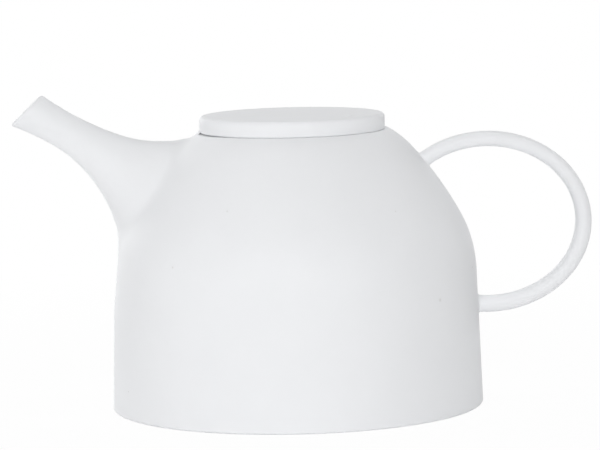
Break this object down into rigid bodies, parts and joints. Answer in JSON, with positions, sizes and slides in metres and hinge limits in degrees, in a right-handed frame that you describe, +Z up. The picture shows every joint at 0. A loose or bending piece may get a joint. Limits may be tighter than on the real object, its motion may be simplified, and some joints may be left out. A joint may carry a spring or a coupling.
{
  "type": "teapot",
  "caption": "Matt white ceramic teapot with a domed body, a slender spout that flares into it, a thin ring handle and a flat disc lid that lifts out of the mouth.",
  "frame": {"origin": "centre of the foot ring, on the surface the pot stands on", "axes": "+Z up along the pot's axis, +X from the spout towards the handle, the middle plane of spout and handle is XZ"},
  "size_m": [0.2331, 0.15, 0.1282],
  "materials": {
    "matt_ceramic": "matt",
    "glazed_ceramic": "clear glaze"
  },
  "bodies": {
    "pot": {"body": "matt_ceramic", "spout": "matt_ceramic", "strainer": "glazed_ceramic", "handle": "matt_ceramic"},
    "lid": {"lid_disc": "matt_ceramic", "lid_flange": "matt_ceramic"}
  },
  "joints": [
    {"name": "lid_lift", "type": "slide", "parent": "pot", "child": "lid", "axis": [0, 0, 1], "range_m": [0, 0.08]}
  ]
}
